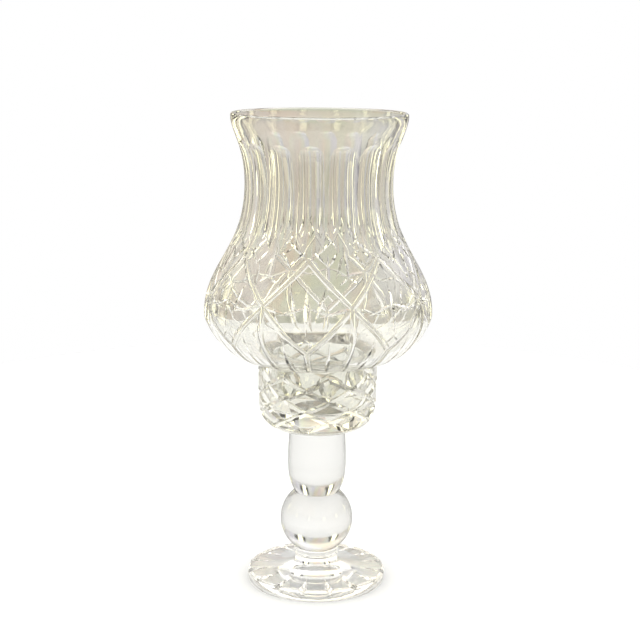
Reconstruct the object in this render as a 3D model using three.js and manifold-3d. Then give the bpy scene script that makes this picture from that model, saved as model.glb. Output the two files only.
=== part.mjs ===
import * as THREE from 'three';
import { mergeVertices } from 'three/addons/utils/BufferGeometryUtils.js';
import Module from 'manifold-3d';

// A table hurricane in clear cut glass: a footed holder with a candle cup, and a loose shade.
// Sizes are in millimetres and angles in degrees. +Z is up, and the origin is under the foot.

// Foot: a thick disc that rises to the stem, cut in rays
const FOOT_RADIUS = 41.3;
const FOOT_HEIGHT = 11;
const FOOT_EDGE_HEIGHT = 7;
const FOOT_EDGE_ROUND = 2;
const FOOT_SEAT_MARGIN = 0.7;
const FOOT_RAYS = 16;
const FOOT_RAY_START = 20;
const FOOT_RAY_DEPTH = 3;
const FOOT_RAY_PAST_EDGE = 2;

// Ring collar: two rings with a groove between them
const COLLAR_HEIGHT = 9.5;
const COLLAR_LOWER_RADIUS = 12.9;
const COLLAR_UPPER_RADIUS = 13.4;
const COLLAR_GROOVE_RADIUS = 11.6;
const COLLAR_GROOVE_HEIGHT = 5.6;
const COLLAR_RING_ROUND = 0.9;

// Ball knop: a sphere cut flat above and below its centre
const BALL_RADIUS = 21.6;
const BALL_BELOW_CENTRE = 17.5;
const BALL_ABOVE_CENTRE = 17;

// Barrel knop
const BARREL_HEIGHT = 40;
const BARREL_RADIUS = 17.3;
const BARREL_BELLY_HEIGHT = 19;
const BARREL_TOP_RADIUS = 16.8;

// Candle cup: a thick tumbler with a cut lattice round it
const CUP_HEIGHT = 41.5;
const CUP_RADIUS = 35.4;
const CUP_SHOULDER_RADIUS = 34.8;
const CUP_SHOULDER_HEIGHT = 17;
const CUP_FOOT_RADIUS = 20;
const CUP_RIM_ROUND = 0.8;
const CUP_FLOOR_ROUND = 2.5;
const CUP_LATTICE_TOP = 36;
const CUP_LATTICE_STEP = 6.5;
const CUP_LATTICE_ROWS = 5;
const CUP_CUT_DEPTH = 1.3;

// Shade, with its heights above the cup rim that it stands on
const SHADE_HEIGHT = 143.5;
const RIM_RADIUS = 51;
const RIM_WALL = 3;
const RIM_ROUND = 0.8;
const WAIST_RADIUS = 42.9;
const WAIST_HEIGHT = 103.4;
const BULGE_RADIUS = 66.8;
const BULGE_HEIGHT = 28;
const SHADE_WALL = 4.2;
const NECK_RADIUS = 28;
const NECK_WALL = 3;
const NECK_DEPTH = 18;
const NECK_CHAMFER = 0.7;

// How far each curve keeps its direction before it bends, as a share of its height or width
const FOOT_EASE_OUT = 0.4;
const FOOT_EASE_IN = 0.3;
const BARREL_EASE_FOOT = 0.3;
const BARREL_EASE_BELLY = 0.5;
const CUP_EASE_FOOT = 0.7;
const CUP_EASE_SHOULDER = 0.6;
const RIM_EASE = 0.25;
const WAIST_EASE_UP = 0.57;
const WAIST_EASE_DOWN = 0.51;
const BULGE_EASE_UP = 0.37;
const BULGE_EASE_DOWN = 0.24;
const UNDERSIDE_EASE = 0.61;

// Clearances between the loose shade and the cup
const NECK_CLEARANCE = 1.3;
const NECK_TO_FLOOR = 10;

// Cuts on the shade
const REPEATS = 8;
const FLUTE_RADIUS = 45;
const FLUTE_DEPTH = 1.45;
const FLUTE_TOP = 132;
const FLUTE_ARCH = 9;
const LONG_FLUTE_TIP = 59;
const SHORT_FLUTE_TIP = 71;
const FLUTE_TAPER = 34;
const FLUTE_CUTTER_WIDTH = 20;
const LATTICE_TOP = 66;
const LATTICE_BOTTOM = 15.5;
const LATTICE_DEPTH = 1.5;
const LATTICE_OVERRUN = 1.2;
const SPINDLE_TOP = 53;
const SPINDLE_BOTTOM = 26;
const SPINDLE_DEPTH = 1.2;
const UNDERSIDE_CUT_STOP = 3.6;

// The V of a cutting wheel, how far a cutter stands out of the glass, the share of a cut's depth
// by which it rises off the glass where it runs out, and its depth where it stops short
const MITRE_ANGLE = 100;
const CUTTER_RISE = 1;
const RUN_OUT = 0.04;
const BLUNT_END = 0.4;

// How the pattern of the shade and that of the holder lie, seen from the front
const SHADE_TURN = -5.7;
const HOLDER_TURN = 11.25;

// Facets
const SHADE_SIDES = 40;
const UNDERSIDE_RINGS = 5;
const BODY_RINGS = 7;
const MOUTH_RINGS = 4;
const INNER_SIDES = 32;
const HOLLOW_RINGS = 9;
const CUP_SIDES = 32;
const SIDES_PER_RAY = 2;
const STEM_SIDES = 32;
const STEM_RINGS = 4;

const wasm = await Module();
wasm.setup();

const along = THREE.MathUtils.lerp;
const radians = THREE.MathUtils.degToRad;

/** Turns the faces of a closed geometry outwards and drops triangles without area at the axis. */
function closedMesh(geometry) {
  geometry.deleteAttribute('normal');
  geometry.deleteAttribute('uv');
  const merged = mergeVertices(geometry);
  const index = merged.index.array;
  const corner = [new THREE.Vector3(), new THREE.Vector3(), new THREE.Vector3()];
  const kept = [];
  let volume = 0;
  for (let i = 0; i < index.length; i += 3) {
    const [a, b, c] = [index[i], index[i + 1], index[i + 2]];
    if (a === b || b === c || c === a) continue;
    [a, b, c].forEach((vertex, k) => corner[k].fromBufferAttribute(merged.attributes.position, vertex));
    volume += corner[0].dot(corner[1].clone().cross(corner[2]));
    kept.push(a, b, c);
  }
  if (volume < 0) kept.reverse();
  merged.setIndex(kept);
  return merged;
}

/** Makes a solid that can be cut from a closed geometry. */
function solidFrom(geometry) {
  const closed = closedMesh(geometry);
  const vertProperties = new Float32Array(closed.attributes.position.array);
  const triVerts = new Uint32Array(closed.index.array);
  return new wasm.Manifold(new wasm.Mesh({ numProp: 3, vertProperties, triVerts }));
}

/** Turns a cut solid back into a geometry. */
function geometryFrom(solid) {
  const mesh = solid.getMesh();
  const geometry = new THREE.BufferGeometry();
  geometry.setAttribute('position', new THREE.BufferAttribute(Float32Array.from(mesh.vertProperties), 3));
  geometry.setIndex(Array.from(mesh.triVerts));
  geometry.computeVertexNormals();
  return geometry;
}

/** Spins a half outline, radius and height, round the upright axis. */
function turned(points, sides) {
  const geometry = new THREE.LatheGeometry(points, sides);
  geometry.rotateX(Math.PI / 2);
  return solidFrom(geometry);
}

/** A turned surface that cuts are laid on: places on it are given by angle and by length along it. */
class TurnedSurface {
  constructor(points) {
    this.points = points;
    this.lengths = [0];
    for (let i = 1; i < points.length; i += 1) {
      this.lengths.push(this.lengths[i - 1] + points[i].distanceTo(points[i - 1]));
    }
    this.total = this.lengths[points.length - 1];
  }

  /** The length at which the outline first passes a height. */
  atHeight(height) {
    return this.crossing((point) => point.y - height);
  }

  /** The length at which the outline first passes a radius. */
  atRadius(radius) {
    return this.crossing((point) => point.x - radius);
  }

  /** The length at which a value that is worked out for each point first changes its sign. */
  crossing(miss) {
    for (let i = 1; i < this.points.length; i += 1) {
      const before = miss(this.points[i - 1]);
      const after = miss(this.points[i]);
      if (before * after <= 0 && before !== after) {
        return along(this.lengths[i - 1], this.lengths[i], before / (before - after));
      }
    }
    return this.total;
  }

  /** The outline's point at a length, carried straight on past either end. */
  outlineAt(length) {
    let i = 1;
    while (i < this.points.length - 1 && this.lengths[i] < length) i += 1;
    const share = (length - this.lengths[i - 1]) / (this.lengths[i] - this.lengths[i - 1]);
    return this.points[i - 1].clone().lerp(this.points[i], share);
  }

  /** The place and the outward direction at an angle and a length. */
  spot(angle, length) {
    const reach = 1;
    const here = this.outlineAt(length);
    const run = this.outlineAt(length + reach).sub(this.outlineAt(length - reach)).normalize();
    const turn = radians(angle);
    const outward = new THREE.Vector3(Math.sin(turn), -Math.cos(turn), 0);
    return {
      place: outward.clone().multiplyScalar(here.x).setZ(here.y),
      normal: outward.clone().multiplyScalar(run.y).setZ(-run.x),
    };
  }
}

/** Joins equal rows of points into one closed bar. */
function bar(rows) {
  const count = rows[0].length;
  const position = rows.flat().flatMap((point) => point.toArray());
  const index = [];
  for (let i = 1; i < rows.length; i += 1) {
    for (let j = 0; j < count; j += 1) {
      const [a, b] = [(i - 1) * count + j, (i - 1) * count + ((j + 1) % count)];
      const [c, d] = [a + count, b + count];
      index.push(a, b, c, b, d, c);
    }
  }
  const last = (rows.length - 1) * count;
  for (let j = 1; j < count - 1; j += 1) {
    index.push(0, j + 1, j);
    index.push(last, last + j, last + j + 1);
  }
  const geometry = new THREE.BufferGeometry();
  geometry.setAttribute('position', new THREE.Float32BufferAttribute(position, 3));
  geometry.setIndex(index);
  return solidFrom(geometry);
}

/** Shares of a way from 0 to 1, at equal steps. */
function evenly(steps) {
  return Array.from({ length: steps + 1 }, (_, i) => i / steps);
}

/** Shares of a way from 0 to 1, closer together near both ends. */
function closerAtEnds(steps) {
  return evenly(steps).map((share) => (1 - Math.cos(Math.PI * share)) / 2);
}

/** Lays a cutter along a line on a turned surface. section(t) gives its points as [sideways, outward]. */
function cutter(surface, from, to, shares, section) {
  const spotAt = (t) => surface.spot(along(from.angle, to.angle, t), along(from.length, to.length, t));
  const rows = shares.map((t) => {
    const { place, normal } = spotAt(t);
    const ahead = spotAt(t + 0.01).place.sub(spotAt(t - 0.01).place);
    const side = ahead.cross(normal).normalize();
    return section(t).map(([sideways, outward]) => place.clone()
      .addScaledVector(side, sideways)
      .addScaledVector(normal, outward));
  });
  return bar(rows);
}

/** The V cutter of a mitre wheel, as deep at each share of its way as depthAt says. */
function mitre(surface, from, to, shares, depthAt) {
  const slope = Math.tan(radians(MITRE_ANGLE / 2));
  return cutter(surface, from, to, shares, (t) => {
    const depth = depthAt(t);
    const half = (depth + CUTTER_RISE) * slope;
    return [[0, -depth], [half, CUTTER_RISE], [-half, CUTTER_RISE]];
  });
}

/** A cut that is deepest in the middle and runs out at both ends. */
function spindle(surface, from, to, depth) {
  return mitre(surface, from, to, closerAtEnds(4), (t) => depth * (Math.sin(Math.PI * t) - RUN_OUT));
}

/** Angles of the repeats round a piece. */
function round(count, start = 0) {
  return Array.from({ length: count }, (_, i) => start + (360 / count) * i);
}

/** Cuts every cutter out of a blank. */
function cutFrom(blank, cutters) {
  return cutters.reduce((solid, tool) => solid.subtract(tool), blank);
}

/** A cubic curve in the half plane of radius and height. */
function bend(...points) {
  return new THREE.CubicBezierCurve(...points.map(([radius, height]) => new THREE.Vector2(radius, height)));
}

/** Points along curves that follow each other, each with its own number of steps. */
function trace(...curves) {
  return curves.flatMap(([curve, steps], i) => curve.getPoints(steps).slice(i === 0 ? 0 : 1));
}

/** The shade's outside from the edge of its seat to its lip: underside, bulge, waist and mouth. */
function shadeOutline() {
  const top = SHADE_HEIGHT - RIM_ROUND;
  const rise = top - WAIST_HEIGHT;
  const fall = WAIST_HEIGHT - BULGE_HEIGHT;
  const underside = bend(
    [CUP_RADIUS, 0],
    [along(CUP_RADIUS, BULGE_RADIUS, UNDERSIDE_EASE), 0],
    [BULGE_RADIUS, (1 - BULGE_EASE_DOWN) * BULGE_HEIGHT],
    [BULGE_RADIUS, BULGE_HEIGHT],
  );
  const body = bend(
    [BULGE_RADIUS, BULGE_HEIGHT],
    [BULGE_RADIUS, BULGE_HEIGHT + BULGE_EASE_UP * fall],
    [WAIST_RADIUS, WAIST_HEIGHT - WAIST_EASE_DOWN * fall],
    [WAIST_RADIUS, WAIST_HEIGHT],
  );
  const mouth = bend(
    [WAIST_RADIUS, WAIST_HEIGHT],
    [WAIST_RADIUS, WAIST_HEIGHT + WAIST_EASE_UP * rise],
    [RIM_RADIUS, top - RIM_EASE * rise],
    [RIM_RADIUS, top],
  );
  return trace([underside, UNDERSIDE_RINGS], [body, BODY_RINGS], [mouth, MOUTH_RINGS]);
}

/** The shade's outer shape: the neck that drops into the cup, the flat seat, the outline and the lip. */
function shadeBlank(outline) {
  return turned([
    new THREE.Vector2(0, -NECK_DEPTH),
    new THREE.Vector2(NECK_RADIUS - NECK_CHAMFER, -NECK_DEPTH),
    new THREE.Vector2(NECK_RADIUS, NECK_CHAMFER - NECK_DEPTH),
    new THREE.Vector2(NECK_RADIUS, 0),
    ...outline,
    new THREE.Vector2(RIM_RADIUS - RIM_ROUND, SHADE_HEIGHT),
    new THREE.Vector2(0, SHADE_HEIGHT),
  ], SHADE_SIDES);
}

/** The shade's hollow: the bore of the neck, then the outline moved in by the wall. */
function shadeHollow(outline) {
  const surface = new TurnedSurface(outline);
  const bore = NECK_RADIUS - NECK_WALL;
  const inside = evenly(HOLLOW_RINGS).map((share) => {
    const { place, normal } = surface.spot(90, share * surface.total);
    const upper = Math.max(0, place.z - WAIST_HEIGHT) / (SHADE_HEIGHT - WAIST_HEIGHT);
    const wall = along(SHADE_WALL, RIM_WALL, upper);
    return new THREE.Vector2(place.x - wall * normal.x, place.z - wall * normal.z);
  });
  return turned([
    new THREE.Vector2(0, -NECK_DEPTH - CUTTER_RISE),
    new THREE.Vector2(bore, -NECK_DEPTH - CUTTER_RISE),
    new THREE.Vector2(bore, SHADE_WALL / 2),
    ...inside,
    new THREE.Vector2(RIM_RADIUS - RIM_WALL + RIM_ROUND, SHADE_HEIGHT),
    new THREE.Vector2(RIM_RADIUS - RIM_WALL + RIM_ROUND, SHADE_HEIGHT + CUTTER_RISE),
    new THREE.Vector2(0, SHADE_HEIGHT + CUTTER_RISE),
  ], INNER_SIDES);
}

/** One hollow flute, with a rounded arch at its top and a point at its tip. */
function flute(surface, angle, tip) {
  const from = { angle, length: surface.atHeight(FLUTE_TOP) };
  const to = { angle, length: surface.atHeight(tip) };
  const way = from.length - to.length;
  const reach = FLUTE_CUTTER_WIDTH / 2;
  return cutter(surface, from, to, closerAtEnds(8), (t) => {
    const arch = Math.min(1, (t * way) / FLUTE_ARCH);
    const taper = Math.min(1, ((1 - t) * way) / FLUTE_TAPER);
    const depth = FLUTE_DEPTH * (Math.sqrt(arch * (2 - arch)) * Math.sin((Math.PI / 2) * taper) - RUN_OUT);
    const arc = [-1, -0.5, 0, 0.5, 1].map((share) => {
      const sideways = share * reach;
      return [sideways, FLUTE_RADIUS - Math.sqrt(FLUTE_RADIUS ** 2 - sideways ** 2) - depth];
    });
    return [...arc, [reach, CUTTER_RISE], [-reach, CUTTER_RISE]];
  });
}

/** The cuts of one repeat of the shade's pattern: two crossing grooves, a spindle and a cut to the neck. */
function shadeRepeat(surface, angle) {
  const pitch = 360 / REPEATS;
  const top = surface.atHeight(LATTICE_TOP);
  const bottom = surface.atHeight(LATTICE_BOTTOM);
  const over = LATTICE_OVERRUN / (top - bottom);
  const groove = (side) => mitre(
    surface,
    { angle: angle - side * over * pitch, length: top + LATTICE_OVERRUN },
    { angle: angle + side * (1 + over) * pitch, length: bottom - LATTICE_OVERRUN },
    evenly(8),
    (t) => LATTICE_DEPTH * Math.min(1, BLUNT_END + 8 * Math.min(t, 1 - t)),
  );
  const node = { angle: angle + pitch / 2, length: (top + bottom) / 2 };
  const neckEnd = { angle: node.angle, length: surface.atRadius(CUP_RADIUS + UNDERSIDE_CUT_STOP) };
  const spindleEnds = [SPINDLE_BOTTOM, SPINDLE_TOP].map((height) => ({ angle, length: surface.atHeight(height) }));
  return [
    groove(-1),
    groove(1),
    spindle(surface, ...spindleEnds, SPINDLE_DEPTH),
    mitre(surface, node, neckEnd, evenly(4), (t) => LATTICE_DEPTH * (1 - RUN_OUT - t * t)),
  ];
}

/** The loose shade: a turned blank, fluted above and cut in a lattice round the bulge. */
function shade() {
  const outline = shadeOutline();
  const surface = new TurnedSurface(outline);
  const cutters = [
    ...round(REPEATS, 180 / REPEATS).map((angle) => flute(surface, angle, LONG_FLUTE_TIP)),
    ...round(REPEATS).map((angle) => flute(surface, angle, SHORT_FLUTE_TIP)),
    ...round(REPEATS).flatMap((angle) => shadeRepeat(surface, angle)),
  ];
  return cutFrom(shadeBlank(outline).subtract(shadeHollow(outline)), cutters);
}

/** The candle cup's outside from its seat on the stem to its rim. */
function cupOutline() {
  const belly = bend(
    [CUP_FOOT_RADIUS, 0],
    [along(CUP_FOOT_RADIUS, CUP_SHOULDER_RADIUS, CUP_EASE_FOOT), 0],
    [CUP_SHOULDER_RADIUS, (1 - CUP_EASE_SHOULDER) * CUP_SHOULDER_HEIGHT],
    [CUP_SHOULDER_RADIUS, CUP_SHOULDER_HEIGHT],
  );
  return [
    ...belly.getPoints(4),
    new THREE.Vector2(CUP_RADIUS, CUP_HEIGHT - CUP_RIM_ROUND),
    new THREE.Vector2(CUP_RADIUS - CUP_RIM_ROUND, CUP_HEIGHT),
  ];
}

/** The cup's well, wider than the shade's neck and deeper than it reaches, with a flat floor. */
function cupWell() {
  const bore = NECK_RADIUS + NECK_CLEARANCE;
  const floor = CUP_HEIGHT - NECK_DEPTH - NECK_TO_FLOOR;
  return turned([
    new THREE.Vector2(0, floor),
    new THREE.Vector2(bore - CUP_FLOOR_ROUND, floor),
    new THREE.Vector2(bore, floor + CUP_FLOOR_ROUND),
    new THREE.Vector2(bore, CUP_HEIGHT - CUP_RIM_ROUND),
    new THREE.Vector2(bore + CUP_RIM_ROUND, CUP_HEIGHT),
    new THREE.Vector2(bore + CUP_RIM_ROUND, CUP_HEIGHT + CUTTER_RISE),
    new THREE.Vector2(0, CUP_HEIGHT + CUTTER_RISE),
  ], CUP_SIDES);
}

/** The candle cup, with grooves that wind round it both ways and cross in a lattice. */
function cup() {
  const outline = cupOutline();
  const surface = new TurnedSurface(outline);
  const blank = turned([new THREE.Vector2(0, 0), ...outline, new THREE.Vector2(0, CUP_HEIGHT)], CUP_SIDES);
  const start = surface.atHeight(CUP_LATTICE_TOP);
  const sweep = CUP_LATTICE_ROWS * (180 / REPEATS);
  const end = start - CUP_LATTICE_ROWS * CUP_LATTICE_STEP;
  const cutters = round(REPEATS).flatMap((angle) => [-1, 1].map((side) => mitre(
    surface,
    { angle, length: start },
    { angle: angle + side * sweep, length: end },
    evenly(2 * CUP_LATTICE_ROWS),
    (t) => CUP_CUT_DEPTH * (Math.min(1, BLUNT_END + 5 * t, 3 * (1 - t)) - RUN_OUT),
  )));
  return cutFrom(blank.subtract(cupWell()), cutters);
}

/** The radius of the flat where the ball is cut, at a height from its centre. */
function ballSeat(fromCentre) {
  return Math.sqrt(BALL_RADIUS ** 2 - fromCentre ** 2);
}

/** The barrel knop, whose lower end is as wide as the flat on the ball. */
function barrelKnop() {
  const foot = ballSeat(BALL_ABOVE_CENTRE);
  const upper = BARREL_HEIGHT - BARREL_BELLY_HEIGHT;
  const lowerBend = bend(
    [foot, 0],
    [along(BARREL_RADIUS, foot, BARREL_EASE_FOOT), BARREL_EASE_FOOT * BARREL_BELLY_HEIGHT],
    [BARREL_RADIUS, (1 - BARREL_EASE_BELLY) * BARREL_BELLY_HEIGHT],
    [BARREL_RADIUS, BARREL_BELLY_HEIGHT],
  );
  const upperBend = bend(
    [BARREL_RADIUS, BARREL_BELLY_HEIGHT],
    [BARREL_RADIUS, BARREL_BELLY_HEIGHT + BARREL_EASE_BELLY * upper],
    [BARREL_TOP_RADIUS, BARREL_HEIGHT - BARREL_EASE_BELLY * upper],
    [BARREL_TOP_RADIUS, BARREL_HEIGHT],
  );
  const outline = trace([lowerBend, STEM_RINGS], [upperBend, STEM_RINGS]);
  return turned([new THREE.Vector2(0, 0), ...outline, new THREE.Vector2(0, BARREL_HEIGHT)], STEM_SIDES);
}

/** The ball knop between its two flats. */
function ballKnop() {
  const outline = new THREE.Path();
  outline.moveTo(0, 0);
  outline.lineTo(ballSeat(BALL_BELOW_CENTRE), 0);
  outline.absarc(
    0, BALL_BELOW_CENTRE, BALL_RADIUS,
    -Math.asin(BALL_BELOW_CENTRE / BALL_RADIUS), Math.asin(BALL_ABOVE_CENTRE / BALL_RADIUS), false,
  );
  outline.lineTo(0, BALL_BELOW_CENTRE + BALL_ABOVE_CENTRE);
  return turned(outline.getPoints(STEM_RINGS), STEM_SIDES);
}

/** The double ring under the ball. */
function ringCollar() {
  const edge = COLLAR_RING_ROUND;
  const groove = COLLAR_GROOVE_HEIGHT;
  const points = [
    [0, 0],
    [COLLAR_LOWER_RADIUS - edge, 0],
    [COLLAR_LOWER_RADIUS, edge],
    [COLLAR_LOWER_RADIUS, groove - 2 * edge],
    [COLLAR_GROOVE_RADIUS, groove - edge / 2],
    [COLLAR_GROOVE_RADIUS, groove + edge / 2],
    [COLLAR_UPPER_RADIUS, groove + 2 * edge],
    [COLLAR_UPPER_RADIUS, COLLAR_HEIGHT - edge],
    [COLLAR_UPPER_RADIUS - edge, COLLAR_HEIGHT],
    [0, COLLAR_HEIGHT],
  ].map(([radius, height]) => new THREE.Vector2(radius, height));
  return turned(points, STEM_SIDES);
}

/** The foot's outside, from under its edge to the seat that the collar stands on. */
function footOutline() {
  const bevel = FOOT_EDGE_ROUND / 3;
  const seat = COLLAR_LOWER_RADIUS + FOOT_SEAT_MARGIN;
  const top = bend(
    [FOOT_RADIUS - FOOT_EDGE_ROUND, FOOT_EDGE_HEIGHT],
    [along(FOOT_RADIUS, seat, FOOT_EASE_OUT), FOOT_EDGE_HEIGHT],
    [along(seat, FOOT_RADIUS, FOOT_EASE_IN), along(FOOT_EDGE_HEIGHT, FOOT_HEIGHT, FOOT_EASE_IN)],
    [seat, FOOT_HEIGHT],
  );
  return [
    new THREE.Vector2(FOOT_RADIUS - bevel, 0),
    new THREE.Vector2(FOOT_RADIUS, FOOT_EDGE_ROUND),
    new THREE.Vector2(FOOT_RADIUS, FOOT_EDGE_HEIGHT - FOOT_EDGE_ROUND),
    new THREE.Vector2(FOOT_RADIUS - bevel, FOOT_EDGE_HEIGHT - bevel),
    ...top.getPoints(STEM_RINGS),
  ];
}

/** The straight V cutter of one ray: it enters the top at a radius and leaves through the edge. */
function footRay(angle, top) {
  const slope = Math.tan(radians(MITRE_ANGLE / 2));
  const turn = radians(angle);
  const outward = new THREE.Vector3(Math.sin(turn), -Math.cos(turn), 0);
  const side = new THREE.Vector3(Math.cos(turn), Math.sin(turn), 0);
  const start = new THREE.Vector2(FOOT_RAY_START, top.outlineAt(top.atRadius(FOOT_RAY_START)).y);
  const end = new THREE.Vector2(FOOT_RADIUS, FOOT_EDGE_HEIGHT - FOOT_RAY_DEPTH);
  const past = end.clone().sub(start).setLength(FOOT_RAY_PAST_EDGE).add(end);
  return bar([start, past].map((tip) => {
    const rise = CUTTER_RISE + start.y - tip.y;
    const middle = outward.clone().multiplyScalar(tip.x).setZ(tip.y);
    return [[0, 0], [rise * slope, rise], [-rise * slope, rise]].map(([sideways, up]) => (
      middle.clone().addScaledVector(side, sideways).setZ(tip.y + up)
    ));
  }));
}

/** The foot: a thick disc with a soft edge, cut in rays that notch its edge into petals. */
function foot() {
  const outline = footOutline();
  const top = new TurnedSurface(outline);
  const sides = SIDES_PER_RAY * FOOT_RAYS;
  const blank = turned([new THREE.Vector2(0, 0), ...outline, new THREE.Vector2(0, FOOT_HEIGHT)], sides);
  return cutFrom(blank, round(FOOT_RAYS).map((angle) => footRay(angle, top)));
}

/** A glass finish, the shade a little warmer than the holder. */
function glass(color, opacity) {
  return new THREE.MeshStandardMaterial({ color, roughness: 0.04, metalness: 0, transparent: true, opacity });
}

/** Names a piece and stands it at its height. */
function piece(name, solid, material, height) {
  const mesh = new THREE.Mesh(geometryFrom(solid), material);
  mesh.name = name;
  mesh.position.z = height;
  return mesh;
}

const clearGlass = glass(0xf0f1ea, 0.35);
const warmGlass = glass(0xe2decb, 0.45);

const collarHeight = FOOT_HEIGHT;
const ballHeight = collarHeight + COLLAR_HEIGHT;
const barrelHeight = ballHeight + BALL_BELOW_CENTRE + BALL_ABOVE_CENTRE;
const cupHeight = barrelHeight + BARREL_HEIGHT;
const shadeHeight = cupHeight + CUP_HEIGHT;

const holder = new THREE.Group();
holder.rotation.z = radians(HOLDER_TURN);
holder.add(piece('foot', foot(), clearGlass, 0));
holder.add(piece('ring_collar', ringCollar(), clearGlass, collarHeight));
holder.add(piece('ball_knop', ballKnop(), clearGlass, ballHeight));
holder.add(piece('barrel_knop', barrelKnop(), clearGlass, barrelHeight));
holder.add(piece('cup', cup(), clearGlass, cupHeight));

const looseShade = piece('shade', shade(), warmGlass, shadeHeight);
looseShade.rotation.z = radians(SHADE_TURN);

const hurricane = new THREE.Group();
hurricane.add(holder, looseShade);

export default hurricane;
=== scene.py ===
"""A table hurricane in clear cut glass: a footed candle holder, and a shade that stands loose in its cup.

Sizes are in millimetres and angles in degrees. Meshes are in metres, +Z up, with the origin under the foot.
An angle round the axis is counted from the front, and grows towards the viewer's right.
"""

import logging
import math
from collections.abc import Callable
from dataclasses import dataclass
from enum import Enum
from typing import Any, Self

import bpy
from mathutils import Matrix, Vector
from mathutils.geometry import interpolate_bezier

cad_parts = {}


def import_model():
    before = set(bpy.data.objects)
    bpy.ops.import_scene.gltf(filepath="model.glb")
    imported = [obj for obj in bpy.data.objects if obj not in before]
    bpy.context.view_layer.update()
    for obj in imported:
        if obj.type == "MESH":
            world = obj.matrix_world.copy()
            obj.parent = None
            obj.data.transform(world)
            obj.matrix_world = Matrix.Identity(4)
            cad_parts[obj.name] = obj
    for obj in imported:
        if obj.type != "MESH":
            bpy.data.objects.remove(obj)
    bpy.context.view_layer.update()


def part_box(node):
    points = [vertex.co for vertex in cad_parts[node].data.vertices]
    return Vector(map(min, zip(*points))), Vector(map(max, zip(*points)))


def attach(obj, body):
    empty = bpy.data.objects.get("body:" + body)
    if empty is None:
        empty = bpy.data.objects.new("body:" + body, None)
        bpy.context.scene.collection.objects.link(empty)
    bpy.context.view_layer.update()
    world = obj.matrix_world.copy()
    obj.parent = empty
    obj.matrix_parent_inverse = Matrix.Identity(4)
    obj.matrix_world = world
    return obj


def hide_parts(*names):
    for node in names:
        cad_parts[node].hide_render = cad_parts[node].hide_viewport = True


Piece = bpy.types.Object
Tree = bpy.types.NodeTree
Socket = bpy.types.NodeSocket
Pair = tuple[float, float]
Stops = tuple[tuple[float, str], ...]

LOG = logging.getLogger("hurricane")
MM = 0.001
TURN = 360.0
WHITE = "#ffffff"

# How often the cut patterns repeat round the axis, and how the two glasses stand, seen from the front
REPEATS = 8
PITCH = TURN / REPEATS
SHADE_TURN = -5.7
HOLDER_TURN = 11.25

# Clear space that keeps two touching glasses apart, so that light meets each polished face once
JOINT_FILM = 0.03

# Points this close are one point, and slivers this narrow are closed
SAME_POINT = 0.001
SLIVER = 0.002

# How far a wheel stands off the glass where a cut runs out or an arch starts, as a share of the cut's depth
RUN_OUT_LIFT = 0.04
ARCH_LIFT = 0.01

# How deep a flute is under its arch, as a share of its depth further down
ARCH_DEPTH = 0.6

# Sockets of Blender's Mix node when it mixes colours
MIX_FACTOR, MIX_FROM, MIX_TO, MIX_RESULT = 0, 6, 7, 2


def mm(*values: float) -> Vector:
    """Makes a point in metres of values in millimetres."""
    return Vector(values) * MM


def linear(colour: str) -> tuple[float, float, float, float]:
    """Turns an sRGB hex colour into the linear colour that shaders take, by the sRGB formula."""
    shares = [int(colour[k : k + 2], 16) / 255 for k in (1, 3, 5)]
    return (*[v / 12.92 if v <= 0.04045 else ((v + 0.055) / 1.055) ** 2.4 for v in shares], 1.0)


def mix(low: float, high: float, share: float) -> float:
    """Goes a share of the way from one value to another."""
    return low + (high - low) * share


class Outline:
    """A half outline of a turned form, as points of radius and height, walked by the length along it."""

    def __init__(self, points: list[Vector]) -> None:
        """Measures the outline.

        Args:
            points: radius and height of each point, in mm.
        """
        self.points = points
        self.lengths = [0.0]
        for before, here in zip(points, points[1:]):
            self.lengths.append(self.lengths[-1] + (here - before).length)

    @property
    def total(self) -> float:
        """The whole length."""
        return self.lengths[-1]

    def at(self, length: float) -> Vector:
        """Finds the point at a length, carried straight on past either end.

        Args:
            length: how far along the outline, in mm.

        Returns:
            Its radius and height, in mm.
        """
        k = 1
        while k < len(self.points) - 1 and self.lengths[k] < length:
            k += 1
        share = (length - self.lengths[k - 1]) / (self.lengths[k] - self.lengths[k - 1])
        return self.points[k - 1].lerp(self.points[k], share)

    def normal(self, length: float, reach: float = 1.0) -> Vector:
        """Finds the direction out of the glass at a length.

        Args:
            length: how far along the outline, in mm.
            reach: how far on either side the slope is taken, in mm.

        Returns:
            A unit vector of radius and height.
        """
        run = (self.at(length + reach) - self.at(length - reach)).normalized()
        return Vector((run.y, -run.x))

    def where(self, miss: Callable[[Vector], float]) -> float:
        """Finds the length at which a value first changes its sign.

        Args:
            miss: works out the value of a point.

        Returns:
            The length in mm, or the whole length if the sign never changes.
        """
        for k in range(1, len(self.points)):
            before, here = miss(self.points[k - 1]), miss(self.points[k])
            if before * here <= 0 and before != here:
                return mix(self.lengths[k - 1], self.lengths[k], before / (before - here))
        return self.total

    def at_height(self, height: float) -> float:
        """Finds the length at which the outline first passes a height."""
        return self.where(lambda point: point.y - height)

    def at_radius(self, radius: float) -> float:
        """Finds the length at which the outline first passes a radius."""
        return self.where(lambda point: point.x - radius)


def bend(*knots: Pair, steps: int) -> list[Vector]:
    """Draws a cubic curve in the plane of radius and height.

    Args:
        knots: start, its handle, the end's handle and the end.
        steps: how many straight steps stand for the curve.

    Returns:
        The points from start to end.
    """
    points = [Vector((radius, height, 0)) for radius, height in knots]
    return [point.to_2d() for point in interpolate_bezier(*points, steps + 1)]


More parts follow.
